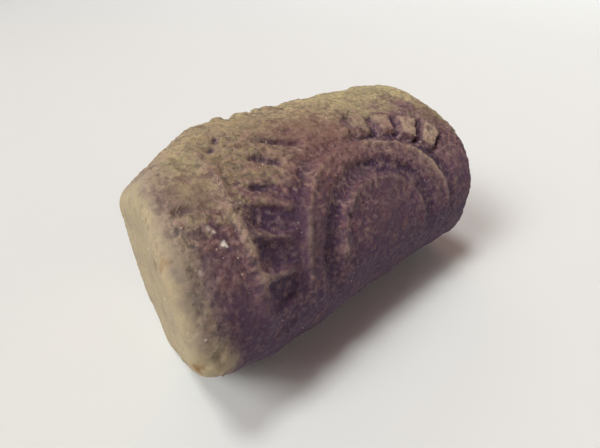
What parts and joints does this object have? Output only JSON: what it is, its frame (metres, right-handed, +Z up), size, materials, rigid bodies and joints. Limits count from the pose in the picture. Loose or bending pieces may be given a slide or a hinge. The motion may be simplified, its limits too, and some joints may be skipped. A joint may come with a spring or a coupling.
{
  "type": "cylinder seal",
  "caption": "Short stone cylinder of oval section, worn and carved around with rings and rays, made to be rolled over clay; it lies on a small flat.",
  "frame": {"origin": "centre of the box around the seal, at the level of the surface that it lies on", "axes": "+X along the seal from its flat end to its rounded end, +Y away from the clearer side of the carving, +Z up"},
  "size_m": [0.042, 0.0284, 0.022],
  "materials": {
    "stone": "matte"
  },
  "bodies": {
    "root": {"seal": "stone"}
  },
  "joints": []
}
